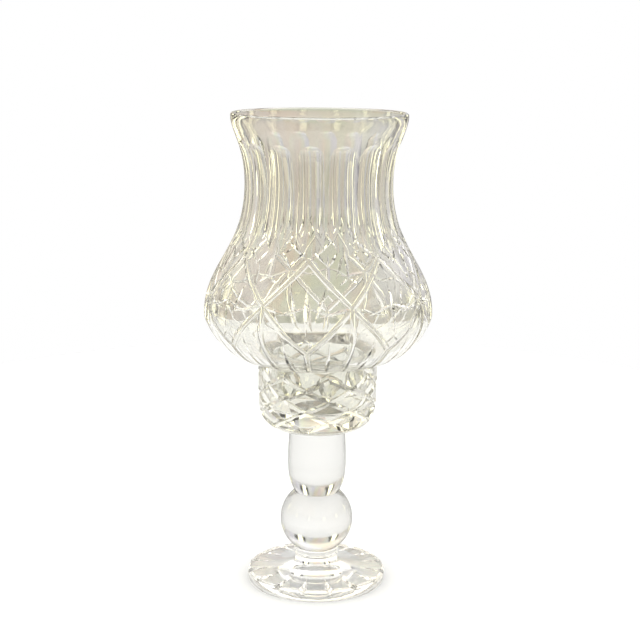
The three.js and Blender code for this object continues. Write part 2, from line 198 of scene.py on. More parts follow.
def arc(centre: Pair, radius: float, start: float, end: float, steps: int = 4) -> list[Vector]:
    """Draws an arc in the plane of radius and height.

    Args:
        centre: radius and height of its centre.
        radius: its own radius.
        start: the angle at which it starts, counted from the outward direction.
        end: the angle at which it ends.
        steps: how many straight steps stand for the arc.

    Returns:
        The points from start to end.
    """
    turns = [math.radians(mix(start, end, k / steps)) for k in range(steps + 1)]
    return [Vector(centre) + radius * Vector((math.cos(turn), math.sin(turn))) for turn in turns]


def on_axis(height: float) -> list[Vector]:
    """Makes a run of one point, on the axis at a height."""
    return [Vector((0, height))]


def trace(*runs: list[Vector]) -> list[Vector]:
    """Joins runs of points into one outline and drops a point that repeats the one before it.

    Args:
        runs: the runs, in order.

    Returns:
        The outline's points.
    """
    points: list[Vector] = []
    for point in [point for run in runs for point in run]:
        if not points or (point - points[-1]).length > SAME_POINT:
            points.append(point)
    return points


def select(*pieces: Piece) -> None:
    """Leaves edit mode, selects some objects alone and makes the first one active.

    Args:
        pieces: the objects, or none.
    """
    if bpy.context.object and bpy.context.object.mode != "OBJECT":
        bpy.ops.object.mode_set(mode="OBJECT")
    bpy.ops.object.select_all(action="DESELECT")
    for piece in pieces:
        piece.select_set(True)
    if pieces:
        bpy.context.view_layer.objects.active = pieces[0]


def select_mesh() -> None:
    """Selects the whole mesh in edit mode."""
    bpy.ops.object.mode_set(mode="EDIT")
    bpy.ops.mesh.select_all(action="SELECT")


def settle(piece: Piece, name: str) -> Piece:
    """Moves an object's place into its mesh and names it.

    Args:
        piece: the object.
        name: its name, and its mesh's.

    Returns:
        The object.
    """
    select(piece)
    bpy.ops.object.transform_apply(location=True, rotation=True, scale=True)
    piece.name = name
    piece.data.name = name
    return piece


def turn_on_lathe(name: str, outline: list[Vector], sides: int, hollow: bool = False) -> Piece:
    """Draws an outline by extruding one point, and spins it round the upright axis.

    Args:
        name: the piece's name.
        outline: radius and height of each point, in mm, from the axis to the axis.
        sides: how many steps go round.
        hollow: True if the outline goes all round a wall instead.

    Returns:
        A turned form with its faces pointing out.
    """
    select()
    places = [mm(point.x, 0, point.y) for point in outline + outline[:1] * hollow]
    bpy.ops.mesh.primitive_plane_add(size=MM, location=places[0], enter_editmode=True)
    bpy.ops.mesh.merge(type="CENTER")
    for before, here in zip(places, places[1:]):
        bpy.ops.mesh.extrude_region_move(TRANSFORM_OT_translate={"value": here - before})
    select_mesh()
    bpy.ops.mesh.spin(steps=sides, angle=math.tau, center=(0, 0, 0), axis=(0, 0, 1))
    select_mesh()
    bpy.ops.mesh.remove_doubles(threshold=SAME_POINT * MM)
    bpy.ops.mesh.normals_make_consistent(inside=False)
    bpy.ops.object.mode_set(mode="OBJECT")
    return settle(bpy.context.object, name)


class Ends(Enum):
    """How a wheel enters and leaves the glass."""

    RUN_OUT = "lifts off at both ends"
    LEAD_OUT = "starts in another cut and lifts off at its far end"
    STOPS = "starts and stops in other cuts"
    ARCH = "drops in along a round arch and lifts off slowly at its tip"


@dataclass(frozen=True)
class Wheel:
    """The edge of a cutting wheel, seen along the cut.

    Attributes:
        sides: corners of its section; 4 give a mitre, more give a round edge.
        half_width: half its width, in mm.
        half_height: half its height, in mm.
    """

    sides: int
    half_width: float
    half_height: float

    @classmethod
    def mitre(cls, angle: float = 102.0, half_height: float = 3.0) -> Self:
        """Makes a V wheel of a full angle in degrees."""
        return cls(4, half_height * math.tan(math.radians(angle / 2)), half_height)

    @classmethod
    def rounded(cls, radius: float, sides: int = 32) -> Self:
        """Makes a wheel with a round edge that is as wide as it is high."""
        return cls(sides, radius, radius)

    @classmethod
    def hollow(cls, radius: float, half_width: float = 13.0, sides: int = 96) -> Self:
        """Makes a wheel whose edge has a radius of curvature, as an ellipse of that half width."""
        return cls(sides, half_width, half_width**2 / radius)


@dataclass(frozen=True)
class Cut:
    """One wheel cut, laid on an outline in a straight run of angle and length.

    Attributes:
        start: the angle and the length along the outline at which it starts.
        end: the same for its end.
        depth: how deep it goes, in mm.
        wheel: the wheel's edge.
        ends: how it starts and stops.
        arch: for an arch, how long the arch is, in mm.
        taper: for an arch, how long the tip is, in mm.
        step: length of one straight step of the cutter, in mm.
    """

    start: Pair
    end: Pair
    depth: float
    wheel: Wheel
    ends: Ends = Ends.RUN_OUT
    arch: float = 6.0
    taper: float = 17.0
    step: float = 2.5

    def depth_at(self, share: float, way: float) -> float:
        """Works out how deep the wheel is.

        Args:
            share: how far along the cut, from 0 to 1.
            way: the cut's whole length in mm.

        Returns:
            The depth in mm, a little under 0 where the wheel has left the glass.
        """
        match self.ends:
            case Ends.RUN_OUT:
                part = math.sin(math.pi * share) - RUN_OUT_LIFT
            case Ends.LEAD_OUT:
                part = 1 - share**2 * (1 + RUN_OUT_LIFT)
            case Ends.STOPS:
                part = 1.0
            case Ends.ARCH:
                arch = min(1.0, share * way / self.arch)
                taper = min(1.0, (1 - share) * way / self.taper)
                part = arch * (2 - arch) * mix(ARCH_DEPTH, 1.0, share)
                part = part * math.sin(math.pi / 2 * taper) ** 2 - ARCH_LIFT
        return self.depth * part


class CutPattern:
    """Cuts on one turned surface that repeat round its axis.

    Attributes:
        probes: how many steps measure a cut's length.
        fewest: how many steps a cutter has at least.
        nudge: how far beside a section the cut's direction is taken, as a share of the cut.
    """

    probes: int = 16
    fewest: int = 6
    nudge: float = 0.01

    def __init__(self, outline: Outline, repeats: int) -> None:
        """Keeps what the cuts are laid on.

        Args:
            outline: the surface's half outline.
            repeats: how often each cut repeats round the axis.
        """
        self.outline = outline
        self.repeats = repeats

    def spot(self, cut: Cut, share: float) -> tuple[Vector, Vector]:
        """Finds a place on a cut's line.

        Args:
            cut: the cut.
            share: how far along it, from 0 to 1.

        Returns:
            The place on the surface in mm, and the direction out of the glass there.
        """
        turn = math.radians(mix(cut.start[0], cut.end[0], share))
        length = mix(cut.start[1], cut.end[1], share)
        here, out = self.outline.at(length), self.outline.normal(length)
        across = Vector((math.sin(turn), -math.cos(turn), 0))
        return across * here.x + Vector((0, 0, here.y)), across * out.x + Vector((0, 0, out.y))

    def stations(self, cut: Cut) -> list[tuple[Vector, Matrix]]:
        """Finds where the wheel's section stands along a cut.

        Args:
            cut: the cut.

        Returns:
            The centre in mm and the orientation of each section.
        """
        places = [self.spot(cut, k / self.probes)[0] for k in range(self.probes + 1)]
        way = sum((here - before).length for before, here in zip(places, places[1:]))
        steps = max(self.fewest, round(way / cut.step))
        found = []
        for k in range(steps + 1):
            share = (1 - math.cos(math.pi * k / steps)) / 2
            place, out = self.spot(cut, share)
            ahead, behind = self.spot(cut, share + self.nudge)[0], self.spot(cut, share - self.nudge)[0]
            along = (ahead - behind).normalized()
            side = out.cross(along).normalized()
            rise = cut.wheel.half_height - cut.depth_at(share, way)
            found.append((place + out * rise, Matrix((side, along.cross(side), along)).transposed()))
        return found

    def cutter(self, cut: Cut) -> Piece:
        """Models the solid that one cut takes away: the wheel's section stood along the cut and bridged.

        Args:
            cut: the cut.

        Returns:
            The solid.
        """
        select()
        bpy.ops.mesh.primitive_plane_add(size=MM, enter_editmode=True)
        bpy.ops.mesh.delete(type="VERT")
        squeeze = (1, cut.wheel.half_height / cut.wheel.half_width, 1)
        for centre, turn in self.stations(cut):
            bpy.ops.mesh.primitive_circle_add(
                vertices=cut.wheel.sides, radius=cut.wheel.half_width * MM, fill_type="NOTHING",
                location=centre * MM, rotation=turn.to_euler(),
            )
            bpy.ops.transform.resize(value=squeeze, orient_matrix=turn, center_override=centre * MM)
        select_mesh()
        bpy.ops.mesh.bridge_edge_loops()
        select_mesh()
        bpy.ops.mesh.fill_holes(sides=0)
        bpy.ops.mesh.normals_make_consistent(inside=False)
        bpy.ops.object.mode_set(mode="OBJECT")
        return bpy.context.object

    def family(self, *cuts: Cut) -> Piece:
        """Models cutters and repeats them round the axis.

        Args:
            cuts: cuts that don't touch each other.

        Returns:
            One object that holds them all.
        """
        tools = [settle(self.cutter(cut), "cutter") for cut in cuts]
        select(*tools)
        if len(tools) > 1:
            bpy.ops.object.join()
        select_mesh()
        copies = self.repeats - 1
        angle = math.tau * copies / self.repeats
        bpy.ops.mesh.spin(steps=copies, dupli=True, angle=angle, center=(0, 0, 0), axis=(0, 0, 1))
        bpy.ops.object.mode_set(mode="OBJECT")
        return bpy.context.object


def take_away(piece: Piece, tool: Piece) -> None:
    """Cuts a tool out of a piece and deletes the tool.

    Args:
        piece: the piece.
        tool: the solid that is taken away.
    """
    select(piece)
    modifier = piece.modifiers.new("cut", "BOOLEAN")
    modifier.object = tool
    modifier.operation = "DIFFERENCE"
    modifier.solver = "MANIFOLD"
    bpy.ops.object.modifier_apply(modifier=modifier.name)
    bpy.data.objects.remove(tool)


def polish(piece: Piece, turn: float, crease: float) -> None:
    """Turns a finished piece to its place round the axis and shades it smooth up to its creases.

    Args:
        piece: the piece, with its pattern's front at angle 0.
        turn: the angle round the axis that it stands at.
        crease: the least angle between faces that stays an edge.
    """
    select(piece)
    select_mesh()
    bpy.ops.mesh.remove_doubles(threshold=SLIVER * MM)
    bpy.ops.mesh.dissolve_degenerate(threshold=SLIVER * MM)
    bpy.ops.object.mode_set(mode="OBJECT")
    piece.rotation_euler.z = math.radians(turn)
    settle(piece, piece.name)
    bpy.ops.object.shade_smooth_by_angle(angle=math.radians(crease))


def add_node(
    tree: Tree, kind: str, inputs: dict[str | int, Any] | None = None, **settings: Any
) -> bpy.types.Node:
    """Adds a node with its inputs and settings.

    Args:
        tree: the tree that gets the node.
        kind: Blender's name for its type, after the word ShaderNode.
        inputs: what its inputs get, by name or number: an output is linked, anything else is a value.
        settings: the node's own properties.

    Returns:
        The node.
    """
    node = tree.nodes.new("ShaderNode" + kind)
    for name, value in settings.items():
        setattr(node, name, value)
    for name, value in (inputs or {}).items():
        if isinstance(value, Socket):
            tree.links.new(value, node.inputs[name])
        else:
            node.inputs[name].default_value = value
    return node


def calculate(tree: Tree, operation: str, *values: Any) -> Socket:
    """Adds a math node for numbers, and gives its result."""
    return add_node(tree, "Math", dict(enumerate(values)), operation=operation).outputs[0]


def blend(tree: Tree, operation: str, *values: Any) -> Socket:
    """Adds a math node for colours, and gives its result."""
    return add_node(tree, "VectorMath", dict(enumerate(values)), operation=operation).outputs[0]


def add_ramp(tree: Tree, value: Socket, stops: Stops) -> Socket:
    """Adds a node that turns a value into a colour.

    Args:
        tree: the tree that gets the node.
        value: what it follows, from 0 to 1.
        stops: the places of its colours, and the colours.

    Returns:
        The colour.
    """
    ramp = add_node(tree, "ValToRGB", {"Fac": value})
    while len(ramp.color_ramp.elements) < len(stops):
        ramp.color_ramp.elements.new(1.0)
    for element, (place, colour) in zip(ramp.color_ramp.elements, stops):
        element.position = place
        element.color = linear(colour)
    return ramp.outputs[0]


@dataclass(frozen=True)
class Crystal:
    """Lead crystal that was blown or pressed, cut on wheels and polished with acid.

    Attributes:
        name: the material's name.
        tint: what one polished face lets through.
        ior: how strongly it bends light; lead crystal is 1.54 to 1.58.
        roughness: what the polish leaves.
        density: how strongly the body takes up the depth colour, per metre.
        depth_colour: what is left of white light by the body.
        skin: what the leached skin lets through, seen square on; seen along the glass it takes up more.
        skin_ior: how strongly that skin bends light; acid leaves it almost as open as air.
        ripple: height of the soft waves that acid polishing leaves, in mm.
        ripple_size: width of one wave, in mm.
    """

    name: str
    tint: str = WHITE
    ior: float = 1.54
    roughness: float = 0.0
    density: float = 0.0
    depth_colour: str = WHITE
    skin: str = "#fefefe"
    skin_ior: float = 1.01
    ripple: float = 0.0
    ripple_size: float = 12.0

    def make(self) -> bpy.types.Material:
        """Builds the material: a clear dielectric with a tinted body and a faintly wavy polish.

        Returns:
            The material.
        """
        material = bpy.data.materials.new(self.name)
        material.use_nodes = True
        tree = material.node_tree
        tree.nodes.clear()
        place = add_node(tree, "TexCoord").outputs["Object"]
        waves = add_node(
            tree, "TexNoise",
            {"Vector": place, "Scale": 1 / (self.ripple_size * MM), "Detail": 2.0, "Roughness": 0.4},
            noise_dimensions="3D",
        )
        bump = add_node(
            tree, "Bump", {"Height": waves.outputs["Fac"], "Distance": self.ripple * MM, "Strength": 1.0},
        )
        surface = add_node(tree, "BsdfPrincipled", {
            "Base Color": linear(self.tint), "Roughness": self.roughness, "IOR": self.ior,
            "Transmission Weight": 1.0, "Normal": bump.outputs["Normal"], "Coat Weight": 1.0,
            "Coat Roughness": 0.0, "Coat IOR": self.skin_ior, "Coat Tint": linear(self.skin),
        })
        end = add_node(tree, "OutputMaterial", {"Surface": surface.outputs[0]})
        if self.density:
            body = add_node(
                tree, "VolumeAbsorption", {"Color": linear(self.depth_colour), "Density": self.density},
            )
            tree.links.new(body.outputs[0], end.inputs["Volume"])
        return material


def dress(piece: Piece, finish: Crystal, body: str, node: str) -> None:
    """Gives a piece its finish, and ties it to the part.

    Args:
        piece: the finished piece.
        finish: what it is made of.
        body: the body that it moves with.
        node: the plain solid that it stands for.
    """
    material = bpy.data.materials.get(finish.name) or finish.make()
    piece.data.materials.clear()
    piece.data.materials.append(material)
    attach(piece, body)
    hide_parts(node)
    LOG.info("%s: %d faces, stands for %s", piece.name, len(piece.data.polygons), node)


@dataclass(frozen=True)
class Split:
    """A thin mitre cut near an arch, and the same one mirrored on the arch's other side.

    Attributes:
        start: the angle from the arch's middle and the height at which it starts.
        end: the same for its end.
        depth: how deep it goes, in mm.
        ends: how it starts and stops.
    """

    start: Pair
    end: Pair
    depth: float = 0.7
    ends: Ends = Ends.RUN_OUT

    def laid_on(self, outline: Outline, side: int) -> Cut:
        """Lays the cut on an outline.

        Args:
            outline: the surface's half outline.
            side: 1 for the right of the arch, -1 for the left.

        Returns:
            The cut.
        """
        start = side * self.start[0], outline.at_height(self.start[1])
        end = side * self.end[0], outline.at_height(self.end[1])
        return Cut(start, end, self.depth, Wheel.mitre(), self.ends, step=1.5)


@dataclass
class Shade:
    """The loose glass shade. Its heights are above the rim of the cup that it stands on."""

    finish: Crystal

    # Turned form, from the mouth down to the flat seat
    height: float = 143.5
    rim_radius: float = 51.0
    rim_wall: float = 3.0
    waist_radius: float = 42.9
    waist_height: float = 103.4
    bulge_radius: float = 66.65
    bulge_height: float = 28.0
    seat_radius: float = 35.4
    wall: float = 4.2

    # Curve handles, as shares of what a curve spans
    underside_handle: float = 0.61
    bulge_low_handle: float = 0.76
    bulge_high_handle: float = 0.37
    waist_low_handle: float = 0.51
    waist_high_handle: float = 0.57
    mouth_handle: float = 0.25

    # Neck that drops into the cup, and the throat that leads the hollow into it
    neck_radius: float = 28.0
    neck_wall: float = 3.0
    neck_depth: float = 18.0
    neck_round: float = 1.0
    neck_fillet: float = 0.5
    throat_depth: float = 6.0
    throat_ease: float = 3.0
    throat_drop: float = 2.0

    # Flutes, and the short cuts between their tips
    flute_radius: float = 45.0
    flute_depth: float = 1.7
    flute_top: float = 128.0
    long_flute_tip: float = 66.0
    short_flute_tip: float = 63.5
    tip_top: float = 75.0
    tip_bottom: float = 55.5
    tip_depth: float = 0.9

    # Diamond lattice, and the spindle cuts in its diamonds
    lattice_top: float = 66.0
    lattice_bottom: float = 15.5
    lattice_depth: float = 1.0
    lattice_edge: float = 2.1
    lattice_overrun: float = 1.2
    spindle_top: float = 53.0
    spindle_bottom: float = 26.0
    spindle_depth: float = 1.2

    # Cuts under the bulge, and how far short of the seat they stop
    underside_stop: float = 3.6
    underside_depth: float = 1.35
    splay_top: float = 25.0
    splay_depth: float = 0.8

    # Thin cuts on the flanks of the lattice
    splits: tuple[Split, ...] = (
        Split((22.5, 41.5), (4.6, 37.0), 1.0, Ends.LEAD_OUT),
        Split((9.5, 52.5), (4.2, 34.5), 0.95),
        Split((15.0, 37.0), (-1.0, 42.7), 0.8),
        Split((-3.5, 76.0), (12.5, 62.5), 0.8),
        Split((17.8, 70.5), (10.6, 62.2), 0.8),
        Split((22.5, 57.5), (16.8, 53.5), 0.7),
        Split((-1.0, 25.5), (6.5, 18.5), 0.6),
        Split((1.5, 67.0), (15.5, 77.0), 0.7),
        Split((19.0, 71.5), (10.0, 80.5), 0.6),
    )

    # Steps round the axis and along the wall, and the least angle of an edge
    sides: int = 224
    wall_steps: int = 40
    crease: float = 16.0

    def outside(self) -> list[Vector]:
        """Draws the outside from the edge of the seat to the lip: underside, bulge, waist and mouth.

        Returns:
            Radius and height of each point, in mm.
        """
        seat = self.seat_radius, JOINT_FILM
        bulge = self.bulge_radius, self.bulge_height
        waist = self.waist_radius, self.waist_height
        rim = self.rim_radius, self.height - self.rim_wall / 2
        return trace(
            bend(
                seat, (mix(seat[0], bulge[0], self.underside_handle), seat[1]),
                (bulge[0], self.bulge_low_handle * bulge[1]), bulge, steps=22,
            ),
            bend(
                bulge, (bulge[0], mix(bulge[1], waist[1], self.bulge_high_handle)),
                (waist[0], mix(waist[1], bulge[1], self.waist_low_handle)), waist, steps=36,
            ),
            bend(
                waist, (waist[0], mix(waist[1], rim[1], self.waist_high_handle)),
                (rim[0], mix(rim[1], waist[1], self.mouth_handle)), rim, steps=18,
            ),
        )

    def blank(self, outline: Outline) -> Piece:
        """Turns the uncut shade: the outside, a polished round lip, the hollow and the neck.

        Args:
            outline: the outside.

        Returns:
            The shade before it is cut.
        """
        inside = []
        for k in range(self.wall_steps + 1):
            length = outline.total * (1 - k / self.wall_steps)
            here = outline.at(length)
            upper = max(0.0, here.y - self.waist_height) / (self.height - self.waist_height)
            inside.append(here - outline.normal(length) * mix(self.wall, self.rim_wall, upper))
        neck, edge, fillet, floor = self.neck_radius, self.neck_round, self.neck_fillet, inside[-1]
        bore = neck - self.neck_wall
        throat = bend(
            tuple(floor), (bore + self.throat_ease, floor.y),
            (bore, floor.y - self.throat_drop), (bore, -self.throat_depth), steps=10,
        )
        heel = arc((bore + edge, edge - self.neck_depth), edge, 180, 270, steps=3)
        toe = arc((neck - edge, edge - self.neck_depth), edge, -90, 0, steps=3)
        corner = [Vector((neck, -fillet)), Vector((neck + fillet, JOINT_FILM))]
        half_rim = self.rim_wall / 2
        lip = arc((self.rim_radius - half_rim, outline.points[-1].y), half_rim, 0, 180, steps=8)
        wall = trace(corner, outline.points, lip, inside, throat, heel, toe)
        return turn_on_lathe("cut_shade", wall, self.sides, hollow=True)

    def cuts(self, outline: Outline) -> list[Piece]:
        """Models the cutters of the whole pattern, in the order of the work.

        Args:
            outline: the outside.

        Returns:
            One object for each family of cuts.
        """
        pattern = CutPattern(outline, REPEATS)
        flute, edge = Wheel.hollow(self.flute_radius), Wheel.rounded(self.lattice_edge)
        mitre = Wheel.mitre()
        arch, long_tip, short_tip, top, bottom, under = map(outline.at_height, (
            self.flute_top, self.long_flute_tip, self.short_flute_tip,
            self.lattice_top, self.lattice_bottom, self.splay_top,
        ))
        spindle = outline.at_height(self.spindle_top), outline.at_height(self.spindle_bottom)
        tip = outline.at_height(self.tip_top), outline.at_height(self.tip_bottom)
        stop = outline.at_radius(self.seat_radius + self.underside_stop)
        over = self.lattice_overrun / (top - bottom)

        def upright(angle: float, high: float, low: float, depth: float, wheel: Wheel, ends: Ends) -> Cut:
            """Lays a cut that runs straight down."""
            return Cut((angle, high), (angle, low), depth, wheel, ends)

        def groove(side: int) -> Cut:
            """Lays a groove of the lattice, to the right for side 1 and to the left for side -1."""
            start = -side * over * PITCH, top + self.lattice_overrun
            end = side * (1 + over) * PITCH, bottom - self.lattice_overrun
            return Cut(start, end, self.lattice_depth, edge, Ends.STOPS)

        sides = -1, 1
        families = [
            [upright(PITCH / 2, arch, long_tip, self.flute_depth, flute, Ends.ARCH)],
            [upright(0, arch, short_tip, self.flute_depth, flute, Ends.ARCH)],
            [groove(-1)],
            [groove(1)],
            [upright(0, *spindle, self.spindle_depth, mitre, Ends.RUN_OUT)],
            [upright(PITCH / 2, *tip, self.tip_depth, mitre, Ends.RUN_OUT)],
            [upright(PITCH / 2, (top + bottom) / 2, stop, self.underside_depth, edge, Ends.LEAD_OUT)],
            [upright(0, bottom, stop, self.underside_depth, edge, Ends.LEAD_OUT)],
            [upright(k * PITCH / 4, under, stop, self.splay_depth, mitre, Ends.RUN_OUT) for k in sides],
            *[[split.laid_on(outline, side)] for split in self.splits for side in sides],
        ]
        return [pattern.family(*family) for family in families]

    def build(self) -> None:
        """Turns, cuts and polishes the shade, and stands it in the cup."""
        outline = Outline(self.outside())
        shade = self.blank(outline)
        for tool in self.cuts(outline):
            take_away(shade, tool)
        shade.location.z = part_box("cup")[1].z
        polish(shade, SHADE_TURN, self.crease)
        dress(shade, self.finish, "shade", "shade")


@dataclass
class Cup:
    """The candle cup: a thick tumbler cut in a lattice."""

    finish: Crystal

    # Turned form, with its round edges
    height: float = 41.5
    radius: float = 35.4
    shoulder_radius: float = 34.8
    shoulder_height: float = 17.0
    foot_radius: float = 20.0
    bore: float = 29.3
    floor: float = 13.5
    lip_round: float = 0.8
    well_round: float = 2.5

    # Curve handles, as shares of what the curve spans
    foot_handle: float = 0.7
    shoulder_handle: float = 0.4

    # Lattice
    lattice_top: float = 36.0
    lattice_step: float = 6.5
    lattice_rows: int = 5
    lattice_depth: float = 1.3

    # Steps round the axis, and the least angle of an edge
    sides: int = 160
    crease: float = 24.0

    def outside(self) -> list[Vector]:
        """Draws the outside from the seat on the stem to the rim.

        Returns:
            Radius and height of each point, in mm.
        """
        lip, top = self.lip_round, self.height - self.lip_round
        return trace(
            bend(
                (self.foot_radius, JOINT_FILM),
                (mix(self.foot_radius, self.shoulder_radius, self.foot_handle), JOINT_FILM),
                (self.shoulder_radius, self.shoulder_handle * self.shoulder_height),
                (self.shoulder_radius, self.shoulder_height), steps=16,
            ),
            [Vector((self.radius, top))],
            arc((self.radius - lip, top), lip, 0, 90),
        )

    def build(self) -> None:
        """Turns, bores, cuts and polishes the cup."""
        outline, edge, corner = Outline(self.outside()), self.lip_round, self.well_round
        lip = arc((self.bore + edge, self.height - edge), edge, 90, 180)
        well = arc((self.bore - corner, self.floor + corner), corner, 0, -90, steps=6)
        wall = trace(on_axis(JOINT_FILM), outline.points, lip, well, on_axis(self.floor))
        cup = turn_on_lathe("cut_cup", wall, self.sides)
        pattern = CutPattern(outline, REPEATS)
        top = outline.at_height(self.lattice_top)
        bottom = top - self.lattice_rows * self.lattice_step
        sweep = self.lattice_rows * PITCH / 2
        for side in (-1, 1):
            end = side * sweep, bottom
            groove = Cut((0, top), end, self.lattice_depth, Wheel.mitre(), Ends.STOPS, step=2.0)
            take_away(cup, pattern.family(groove))
        cup.location.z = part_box("cup")[0].z
        polish(cup, HOLDER_TURN, self.crease)
        dress(cup, self.finish, "holder", "cup")


@dataclass
class Stem:
    """The solid stem: a barrel on a ball on a double ring."""

    finish: Crystal
    ring_finish: Crystal

    # Barrel, with curve handles as shares of what a curve spans
    barrel_height: float = 40.0
    barrel_radius: float = 17.3
    barrel_belly: float = 19.0
    barrel_top: float = 16.8
    barrel_bevel: float = 0.6
    barrel_foot_handle: float = 0.3
    barrel_handle: float = 0.5

    # Ball, cut flat below and above its centre
    ball_radius: float = 21.6
    ball_below: float = 17.5
    ball_above: float = 17.0

    # Double ring, and the groove between its rings
    collar_height: float = 9.5
    collar_lower: float = 12.9
    collar_upper: float = 13.4
    collar_round: float = 0.9
    groove_radius: float = 11.6
    groove_height: float = 5.6
    groove_half: float = 0.4
    groove_turn: float = 70.0

    # Steps round the axis, and the least angle of an edge
    sides: int = 128
    crease: float = 30.0

    def ball_flat(self, from_centre: float) -> float:
        """Works out how wide the flat is at a height from the ball's centre."""
        return math.sqrt(self.ball_radius**2 - from_centre**2)

    def knop(self, name: str, side: list[Vector], height: float) -> Piece:
        """Turns a solid piece with a flat at each end."""
        return turn_on_lathe(name, trace(on_axis(JOINT_FILM), side, on_axis(height)), self.sides)

    def barrel(self) -> Piece:
        """Turns the barrel knop.

        Returns:
            The barrel, on the ground.
        """
        foot, belly = self.ball_flat(self.ball_above), self.barrel_belly
        reach = self.barrel_handle * (self.barrel_height - belly)
        side = trace(
            bend(
                (foot, JOINT_FILM),
                (mix(self.barrel_radius, foot, self.barrel_foot_handle), self.barrel_foot_handle * belly),
                (self.barrel_radius, self.barrel_handle * belly), (self.barrel_radius, belly), steps=20,
            ),
            bend(
                (self.barrel_radius, belly), (self.barrel_radius, belly + reach),
                (self.barrel_top, self.barrel_height - reach),
                (self.barrel_top, self.barrel_height - self.barrel_bevel), steps=16,
            ),
            [Vector((self.barrel_top - self.barrel_bevel, self.barrel_height))],
        )
        return self.knop("barrel", side, self.barrel_height)

    def ball(self) -> Piece:
        """Turns the ball knop between its flats.

        Returns:
            The ball, on the ground.
        """
        low = -math.degrees(math.asin((self.ball_below - JOINT_FILM) / self.ball_radius))
        high = math.degrees(math.asin(self.ball_above / self.ball_radius))
        side = arc((0, self.ball_below), self.ball_radius, low, high, steps=40)
        return self.knop("ball", side, self.ball_below + self.ball_above)

    def collar(self) -> Piece:
        """Turns the double ring.

        Returns:
            The ring, on the ground.
        """
        edge, neck, turn = self.collar_round, self.groove_height, self.groove_turn
        lower, upper = self.collar_lower - edge, self.collar_upper - edge
        side = trace(
            arc((lower, edge + JOINT_FILM), edge, -90, 0),
            arc((lower, neck - 2 * edge), edge, 0, turn),
            [Vector((self.groove_radius, neck + lift)) for lift in (-self.groove_half, self.groove_half)],
            arc((upper, neck + 2 * edge), edge, -turn, 0),
            arc((upper, self.collar_height - edge), edge, 0, 90),
        )
        return self.knop("collar", side, self.collar_height)

    def build(self) -> None:
        """Turns the three pieces and stands them on each other."""
        for piece, finish, node in (
            (self.collar(), self.ring_finish, "ring_collar"),
            (self.ball(), self.finish, "ball_knop"),
            (self.barrel(), self.finish, "barrel_knop"),
        ):
            piece.location.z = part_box(node)[0].z
            polish(piece, HOLDER_TURN, self.crease)
            dress(piece, finish, "holder", node)


@dataclass
class Foot:
    """The foot: a thick disc that rises to the stem, cut in rays."""

    finish: Crystal

    # Turned form, with its round and bevelled edge
    radius: float = 41.3
    height: float = 11.0
    edge_height: float = 7.0
    edge_round: float = 2.0
    edge_bevel: float = 2.0 / 3
    seat_radius: float = 13.6

    # Curve handles, as shares of what the curve spans
    edge_handle: float = 0.4
    seat_handle: float = 0.3

    # Rays, and how far their cutters reach past the edge
    rays: int = 16
    ray_start: float = 20.0
    ray_depth: float = 3.0
    ray_overrun: float = 2.0

    # Steps round the axis, and the least angle of an edge
    sides: int = 160
    crease: float = 24.0

    def build(self) -> None:
        """Turns the disc and cuts the rays through its edge."""
        edge, seat = self.edge_round, (self.seat_radius, self.height)
        outline = Outline(bend(
            (self.radius - edge, self.edge_height),
            (mix(self.radius, seat[0], self.edge_handle), self.edge_height),
            (mix(seat[0], self.radius, self.seat_handle), mix(self.edge_height, seat[1], self.seat_handle)),
            seat, steps=20,
        ))
        side = trace(
            on_axis(0),
            [Vector((self.radius - self.edge_bevel, 0)), Vector((self.radius, edge))],
            arc((self.radius - edge, self.edge_height - edge), edge, 0, 90, steps=5),
            outline.points,
            on_axis(self.height),
        )
        foot = turn_on_lathe("rayed_foot", side, self.sides)
        outer = Vector((self.radius + self.ray_overrun, self.edge_height - self.ray_depth))
        run = Outline([outer, outline.at(outline.at_radius(self.ray_start))])
        ray = Cut((0, 0), (0, run.total), 0, Wheel.mitre(), Ends.STOPS)
        take_away(foot, CutPattern(run, self.rays).family(ray))
        polish(foot, HOLDER_TURN, self.crease)
        dress(foot, self.finish, "holder", "foot")


@dataclass(frozen=True)
class Viewpoint:
    """Where the photograph was taken from. Lengths are in mm, and the focal length in pixels."""

    distance: float = 819.0
    height: float = 328.0
    pitch: float = 11.65
    yaw: float = 0.08
    roll: float = 0.48
    focal_pixels: float = 1425.0
    picture_pixels: float = 640.0

    def place(self) -> None:
        """Adds the camera and makes it the scene's own."""
        bpy.ops.object.camera_add()
        camera = bpy.context.object
        camera.name = "viewpoint"
        camera.data.sensor_width = 36.0
        camera.data.lens = self.focal_pixels / self.picture_pixels * camera.data.sensor_width
        camera.data.clip_start, camera.data.clip_end = 0.01, 60.0
        turn = Matrix.Rotation(math.radians(-self.yaw), 4, "Z")
        turn = turn @ Matrix.Rotation(math.radians(90 - self.pitch), 4, "X")
        turn = turn @ Matrix.Rotation(math.radians(self.roll), 4, "Z")
        camera.matrix_world = Matrix.Translation(mm(0, -self.distance, self.height)) @ turn
        bpy.context.scene.camera = camera


